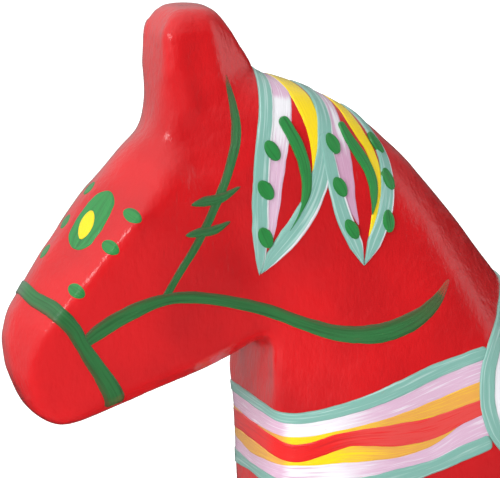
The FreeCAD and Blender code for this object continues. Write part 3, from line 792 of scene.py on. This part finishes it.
# %% The painted harness of the head
BAND = [(-58.6, 0, 88.6, 1.15), (-58.4, -3.6, 88, 1.2), (-56.6, -7, 87, 1.35), (-54.6, 84.6, 1.25),
        (-53.2, 82, 1.1), (-51.5, 79.3, 1.25), (-50, 77, 1.35), (-48.2, 73.8, 1.6), (-47.4, 71.6, 1.7)]
REIN = [(-53.2, 81.8, 0.9), (-50.6, 83.9, 1.3), (-46, 86.5, 1.3), (-40.6, 88.1, 0.95), (-35.1, 87.9, 0.95),
        (-30.2, 86.8, 0.95), (-24.4, 85, 1), (-19.3, 82.9, 1.05), (-14.4, 81.4, 1.25), (-9.4, 81.1, 1.5),
        (-3.9, 82.3, 1.55), (0.3, 84.8, 1.1), (3.5, 88.4, 0.3)]
CHEEK = [(-41.2, 87.6, 0.65), (-37.6, 93.4, 0.7), (-35.4, 96.6, 0.75), (-33, 100.6, 0.8),
         (-31, 104.6, 0.75), (-29.6, 108.6, 0.8), (-28.8, 112, 0.85), (-28.9, 116, 0.7),
         (-29.6, 120.5, 0.35)]
TICKS = ([(-36.5, 102, 0.3), (-34.4, 102.3, 0.8), (-31.6, 102.6, 0.8), (-28.4, 104.2, 0.25)],
         [(-37.6, 97.6, 0.3), (-35.4, 97.8, 0.75), (-32.6, 98, 0.75), (-30, 99, 0.25)])
for side, end in SIDES:
    lay(f"cheek_strap_{end}", "bridle_green", "bridle_green", [one_side(CHEEK, side, cell=0.25)])
    lay(f"strap_ticks_{end}", "bridle_green", "bridle_green",
        [one_side(tick, side, cell=0.2) for tick in TICKS], layer=1)
    lay(f"rein_{end}", "bridle_green", "bridle_green", [one_side(REIN, side)], layer=1)
lay("noseband", "bridle_green", "bridle_green", [over_the_top(BAND[::-1])], layer=2)
print("harness and eyes:", len(laid_pieces), "pieces")

# %% The two locks of the mane
FRONT_BACK = [(-25.7, 90.4, 0.12), (-25.5, 92.8, 0.8), (-25.5, 97.4, 1.35), (-25.4, 103, 1.35),
              (-24.9, 109, 1.3), (-24, 114, 1.25), (-23.4, -6.5, 117.6, 1.2), (-23.2, 0, 119.2, 1.1)]
FRONT_FORE = [(-25.5, 90.6, 0.12), (-23.9, 92.9, 1.1), (-21.3, 96, 1.6), (-19, 99, 1.65), (-17, 102.6, 1.6),
              (-15.6, 107, 1.5), (-14.9, 111, 1.4), (-14.8, -6, 114.6, 1.3), (-15.6, 0, 116.6, 1.2)]
FRONT_WHITE = [(-23.9, 95.2, 0.25), (-23.8, 98, 0.8), (-23.4, 102, 1.15), (-22.9, 107, 1.45),
               (-22.2, 111, 1.7), (-21.6, 114.4, 1.8), (-21, -6, 117, 1.7), (-21.4, 0, 118.8, 1.5)]
FRONT_YELLOW = [(-17.4, 101.6, 0.15), (-16.9, 104.6, 0.7), (-16.5, 108, 0.9), (-16.6, 112, 1.3),
                (-17.8, -5.6, 115.8, 1.9), (-19, 0, 118, 1.9)]
FRONT_LEAF = [(-21.7, 114, 0.9), (-20.6, 112, 1.0), (-19.4, 109.4, 1.0), (-18.5, 106.2, 0.95),
              (-18.4, 103, 0.8), (-19.5, 99.8, 0.35), (-21.4, 96.6, 0.12)]
REAR_FORE = [(-9.9, 91.2, 0.12), (-11, 94.4, 1.15), (-12.5, 98.2, 1.3), (-13.6, 102.2, 1.2),
             (-14.6, 107, 1.1), (-15.1, 111.4, 0.9)]
REAR_BACK = [(-9.9, 91.2, 0.12), (-8.2, 94.4, 1.15), (-6, 99.4, 1.3), (-5.2, 103.6, 1.25),
             (-5.2, 107.2, 1.1), (-6.4, 110.4, 0.95), (-7.6, -2, 112.6, 0.85), (-8.2, 0, 113, 0.8)]
REAR_LILAC = [(-10.4, 97.2, 0.2), (-11.4, 100.6, 0.8), (-12.1, 104.6, 1.4), (-12.7, 108.6, 1.75),
              (-13.2, 112, 1.8), (-13.2, -4, 114.6, 1.5), (-13.2, 0, 115.6, 1.2)]
REAR_YELLOW = [(-9, 95, 0.2), (-7.7, 98.2, 0.75), (-6.9, 103, 0.75), (-7.3, 107.6, 0.95), (-8.8, 111, 1.3),
               (-10.2, -3, 113.6, 1.5), (-10.8, 0, 114.4, 1.5)]
REAR_LEAF = [(-12, 112.4, 0.75), (-10.8, 109.8, 0.95), (-9.2, 107.2, 1.0), (-7.9, 104.2, 0.9),
             (-7.7, 101.2, 0.6), (-8.2, 98.6, 0.15)]
MANE = (
    ("mane_white", "white", "white", FRONT_WHITE, 0),
    ("mane_yellow_front", "bright_yellow", "yellow", FRONT_YELLOW, 1),
    ("mane_lilac", "lilac", "lilac", REAR_LILAC, 0),
    ("mane_yellow_rear", "bright_yellow", "yellow", REAR_YELLOW, 1),
)
for node, paint_name, slot, path, layer in MANE:
    lay(node, paint_name, slot, [over_the_top(path, cell=0.3)], layer)
lay("mane_leaf_front", "leaf_green", "leaf_green", both_sides(FRONT_LEAF, cell=0.2), layer=5)
lay("mane_leaf_rear", "leaf_green", "leaf_green", both_sides(REAR_LEAF, cell=0.2), layer=5)
# the mane borders wear teal with a painted white highlight along their right edge
BORDER = {"cell": 0.3, "wobble": 0.25}
lay("mane_border_front", "teal_painted_highlight", "teal",
    [over_the_top(FRONT_BACK, **BORDER), over_the_top(FRONT_FORE, **BORDER)], layer=3)
lay("mane_border_rear", "teal_painted_highlight", "teal",
    both_sides(REAR_FORE, **BORDER) + [over_the_top(REAR_BACK, **BORDER)], layer=4)
FRONT_DOTS = [(-23.5, 109.2, -58), (-24.7, 103.4, -55), (-24.8, 96.2, -65)]
REAR_DOTS = [(-13.9, 109.6, -62), (-13.2, 103.2, -60), (-11.6, 96.8, -60),
             (-5.9, 108.6, -62), (-5.1, 103.6, -70), (-5.7, 97.6, -85)]
lay("mane_dots_front", "leaf_green", "leaf_green",
    dabs_both_sides(FRONT_DOTS, length=3.5, slim=1.5), layer=6)
lay("mane_dots_rear", "leaf_green", "leaf_green",
    dabs_both_sides(REAR_DOTS, length=3.5, slim=1.6), layer=6)
print("mane laid;", len(laid_pieces), "pieces so far")

# %% The striped breast strap
# Each row: the place of a station, the strap's upper and lower edge there, and the shares of
# its breadth at which one stripe ends and the next begins.
STATIONS = (
    ((8.6,), 78.3, 62.8, (0.11, 0.31, 0.48, 0.62, 0.62, 0.86)),
    ((4.5,), 77.3, 61.3, (0.11, 0.31, 0.48, 0.63, 0.64, 0.86)),
    ((-1,), 75.7, 59.4, (0.125, 0.325, 0.465, 0.675, 0.735, 0.885)),
    ((-6,), 73.7, 57.8, (0.13, 0.31, 0.39, 0.61, 0.715, 0.84)),
    ((-13.2,), 70.9, 55.9, (0.11, 0.27, 0.30, 0.45, 0.62, 0.80)),
    ((-20.5,), 69.0, 55.4, (0.11, 0.275, 0.36, 0.565, 0.60, 0.80)),
    ((-23.6, -8), 69.2, 56.2, (0.11, 0.30, 0.33, 0.56, 0.66, 0.84)),
    ((-24.5, 0), 69.4, 57.0, (0.12, 0.34, 0.34, 0.57, 0.76, 0.90)),
)
BREAST = (("teal_top", "teal", "teal", 2), ("lilac", "white", "lilac", 0),
          ("yellow_top", "yellow", "yellow", 1), ("red", "brush_red", "brush_red", 2),
          ("yellow_low", "yellow", "yellow", 1),
          ("white", "white", "white", 0), ("teal_low", "teal", "teal", 2))
OVERLAP = 0.18


def stripe(stations, number):
    """The middle line and half breadth of one stripe, from one edge share to the next."""
    path = []
    for place, top, bottom, shares in stations:
        edges_here = (0, *shares, 1)
        start, stop = edges_here[number], edges_here[number + 1]
        middle = top + (bottom - top) * (start + stop) / 2
        breadth = (top - bottom) * (stop - start)
        half = breadth / 2 + OVERLAP if breadth > 0.3 else 0.02
        path.append((*place, middle, half))
    return path


for number, (part, paint_name, slot, layer) in enumerate(BREAST):
    lay(f"breast_{part}", paint_name, slot, [over_the_top(stripe(STATIONS, number), wobble=0.3)], layer)

# %% The rump strap
RUMP_SHARES = (0.16, 0.42, 0.82)
RUMP_STATIONS = [((x,), top, bottom, RUMP_SHARES)
                 for x, top, bottom in ((33, 76, 64), (42, 75, 63.5), (52, 73, 62.6), (59, 71.8, 62.2))]
RUMP_STATIONS += [((63, -6), 71, 62, RUMP_SHARES), ((64, 0), 70.6, 62, RUMP_SHARES)]
RUMP = (("teal_top", "teal", "teal", 2), ("lilac", "lilac", "lilac", 0), ("yellow", "yellow", "yellow", 1),
        ("teal_low", "teal", "teal", 2))
for number, (part, paint_name, slot, layer) in enumerate(RUMP):
    lay(f"rump_{part}", paint_name, slot, [over_the_top(stripe(RUMP_STATIONS, number), wobble=0.3)], layer)

# %% The saddle
FIELD = [(22, 60.2, 1), (22, 61.4, 7.5), (22, 63.8, 12), (22, 68, 14), (22, 72.5, 14.2), (22, 77, 13),
         (22, -8, 80, 9), (22, 0, 80, 7.6)]
FRONT_EDGE = [(22.4, 59.6, 1.0), (14, 60.8, 1.25), (10.2, 63.8, 1.3), (8.2, 68, 1.3), (7.9, 72.5, 1.3),
              (9.2, 77, 1.25), (12.4, 81, 1.2), (14.6, -4, 83, 1.15), (15, 0, 83, 1.15)]
REAR_EDGE = [(21.6, 59.6, 1.0), (30, 60.8, 1.25), (33.8, 63.8, 1.3), (35.8, 68, 1.3), (36.1, 72.5, 1.3),
             (34.8, 77, 1.25), (31, -8, 79, 1.2), (29.6, 0, 79, 1.15)]
lay("saddle_field", "field_white", "white",
    [over_the_top(FIELD, cell=0.5, across=60, wobble=0.02)], layer=3)
lay("saddle_border", "teal", "teal",
    [over_the_top(FRONT_EDGE, wobble=0.2), over_the_top(REAR_EDGE, wobble=0.2)], layer=5)
FLOWER_X, FLOWER_Z = 22, 70
petals = []
for lean in (-100, -50, 0, 50, 100):
    way = (math.sin(math.radians(lean)), math.cos(math.radians(lean)))
    petals.append([(FLOWER_X + way[0] * reach, FLOWER_Z + way[1] * reach, half)
                   for reach, half in ((1.6, 0.7), (3.4, 1.6), (5.2, 1.3), (6.6, 0.4))])
leaves = [[(FLOWER_X + way * 2.4, FLOWER_Z - 3, 0.3), (FLOWER_X + way * 5, FLOWER_Z - 5.4, 0.8),
           (FLOWER_X + way * 8.4, FLOWER_Z - 6, 0.2)] for way in (-1, 1)]
for node, paint_name, paths, layer in (("saddle_petals", "brush_red", petals, 4),
                                       ("saddle_leaves", "leaf_green", leaves, 5)):
    strokes = [stroke for path in paths for stroke in both_sides(path, cell=0.2)]
    lay(node, paint_name, paint_name, strokes, layer)
lay("saddle_flower_eye", "bright_yellow", "yellow", dabs_both_sides([(FLOWER_X, FLOWER_Z, 0)]), layer=6)
print(len(laid_pieces), "pieces of paint,",
      sum(len(thing.data.polygons) for thing in laid_pieces.values()), "faces")
